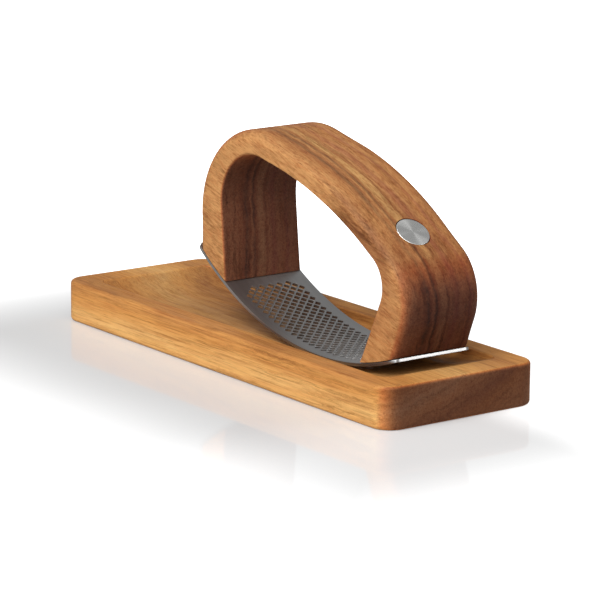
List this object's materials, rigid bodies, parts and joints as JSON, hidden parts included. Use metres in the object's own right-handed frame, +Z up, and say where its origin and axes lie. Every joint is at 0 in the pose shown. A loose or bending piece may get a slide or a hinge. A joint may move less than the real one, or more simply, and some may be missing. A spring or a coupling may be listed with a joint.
{
  "type": "garlic press",
  "caption": "Rocking garlic press: a wooden loop handle on a curved, perforated steel plate, standing in the recess of its own wooden tray.",
  "frame": {"origin": "centre of the tray's underside", "axes": "+X along the tray, towards the end that the press is rocked down to; +Y across the tray; +Z up"},
  "size_m": [0.2224, 0.075, 0.0953],
  "materials": {
    "tray_wood": "oiled, satin, honey brown with dark end grain",
    "handle_wood": "oiled, satin, striped reddish brown",
    "plate_steel": "satin stainless",
    "badge_steel": "circular brushed stainless",
    "screw_steel": "plain stainless"
  },
  "bodies": {
    "tray": {"tray": "tray_wood"},
    "press": {"handle": "handle_wood", "rocker_plate": "plate_steel", "badge_disc": "badge_steel", "foot_screw_1": "screw_steel", "foot_screw_2": "screw_steel", "foot_screw_3": "screw_steel", "foot_screw_4": "screw_steel"}
  },
  "joints": [
    {"name": "rock", "type": "hinge", "parent": "tray", "child": "press", "pos_m": [0.0466, 0, 0.147], "axis": [0, 1, 0], "range_deg": [-36, 17]}
  ]
}
